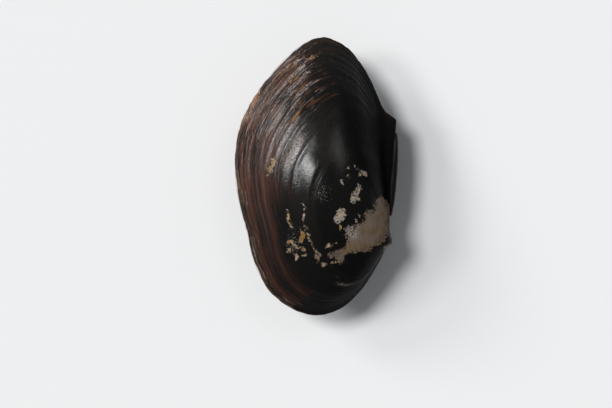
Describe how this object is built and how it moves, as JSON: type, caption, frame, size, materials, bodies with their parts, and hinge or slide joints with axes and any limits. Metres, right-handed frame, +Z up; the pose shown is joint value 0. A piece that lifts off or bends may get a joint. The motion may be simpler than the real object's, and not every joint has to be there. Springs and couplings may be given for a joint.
{
  "type": "freshwater mussel shell",
  "caption": "Closed freshwater mussel shell: dark, ringed valves with worn beaks, joined by a springy ligament along the hinge, lying on its side.",
  "frame": {"origin": "middle of the base of the shell's box, on the surface it rests on", "axes": "+Y along the hinge line towards the pointed posterior end, +X towards the hinge and beaks, +Z up, out of the right valve"},
  "size_m": [0.083, 0.1404, 0.0527],
  "materials": {
    "valve": "dark brown-black, satin, with pale chalky worn spots",
    "ligament": "dark brown, horny, satin"
  },
  "bodies": {
    "root": {"right_valve": "valve", "left_valve": "valve", "ligament": "ligament"}
  },
  "joints": []
}
